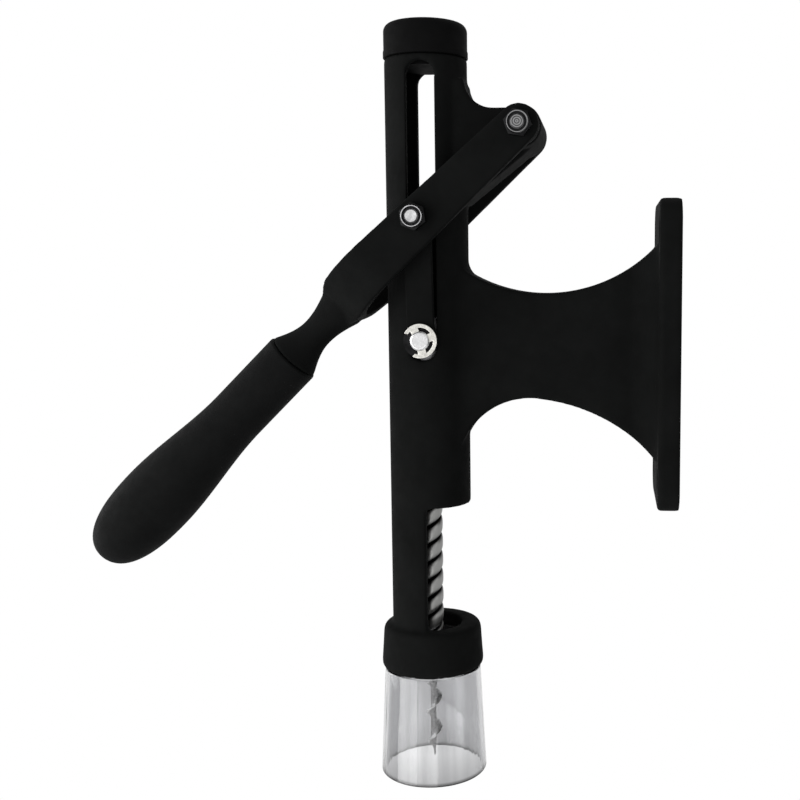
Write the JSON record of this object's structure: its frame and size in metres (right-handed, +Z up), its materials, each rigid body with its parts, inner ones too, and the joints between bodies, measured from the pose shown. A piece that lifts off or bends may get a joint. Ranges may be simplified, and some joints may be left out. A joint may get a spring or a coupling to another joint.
{
  "type": "wall-mounted corkscrew",
  "caption": "Lever corkscrew for a wall: a forked lever lifts a slider in a slotted tube, and a floating nut turns the worm above a clear bottle bell.",
  "frame": {"origin": "middle of the wall plate's back face", "axes": "+X into the wall, +Z up, the lever swings in the XZ plane"},
  "size_m": [0.2609, 0.07, 0.325],
  "materials": {
    "cast_black": "satin black coat on cast metal",
    "cap_plastic": "moulded, satin",
    "grip_plastic": "moulded, satin",
    "clear_plastic": "clear, slightly grey",
    "stop_rubber": "matte",
    "bright_steel": "bright zinc and turned steel",
    "dark_steel": "oiled steel",
    "bronze": "turned bronze"
  },
  "bodies": {
    "frame": {"body_casting": "cast_black", "top_cap": "cap_plastic", "bottle_bell": "clear_plastic", "bottle_stop_ring": "stop_rubber", "lower_ring": "dark_steel", "upper_ring": "dark_steel", "pivot_bush": "bronze"},
    "lever": {"lever_fork": "cast_black", "handle_grip": "grip_plastic", "handle_screw": "bright_steel", "pivot_bolt": "bright_steel", "pivot_nut": "bright_steel", "pivot_washers": "dark_steel", "link_bolts": "bright_steel", "link_nuts": "bright_steel"},
    "slider": {"crosshead": "dark_steel", "cross_pin": "bright_steel", "pin_clips": "bright_steel", "pin_washers": "dark_steel", "thrust_washer": "bronze", "swivel_nut": "dark_steel"},
    "links": {"front_link": "cast_black", "rear_link": "cast_black"},
    "drive_screw": {"spindle": "bright_steel", "worm": "bright_steel"},
    "float_nut": {"drive_nut": "bronze", "nut_keys": "dark_steel"}
  },
  "joints": [
    {"name": "lever_swing", "type": "hinge", "parent": "frame", "child": "lever", "pos_m": [-0.0655, 0, 0.09345], "axis": [0, 1, 0], "range_deg": [0, 120]},
    {"name": "crosshead_slide", "type": "slide", "parent": "frame", "child": "slider", "axis": [0, 0, 1], "range_m": [0, 0.10224]},
    {"name": "link_swing", "type": "hinge", "parent": "slider", "child": "links", "pos_m": [-0.107, 0, 0.00642], "axis": [0, 1, 0], "range_deg": [0, 39.22]},
    {"name": "spindle_spin", "type": "hinge", "parent": "slider", "child": "drive_screw", "pos_m": [-0.107, 0, 0], "axis": [0, 0, 1], "range_deg": [0, 1560.9]},
    {"name": "nut_float", "type": "slide", "parent": "frame", "child": "float_nut", "axis": [0, 0, 1], "range_m": [0, 0.03287]}
  ],
  "couplings": [
    {"joint": "crosshead_slide", "follows": "lever_swing", "m_per_rad": 0.048816},
    {"joint": "link_swing", "follows": "lever_swing", "ratio": 0.32684},
    {"joint": "spindle_spin", "follows": "lever_swing", "ratio": 13.008},
    {"joint": "nut_float", "follows": "lever_swing", "m_per_rad": 0.015693}
  ]
}
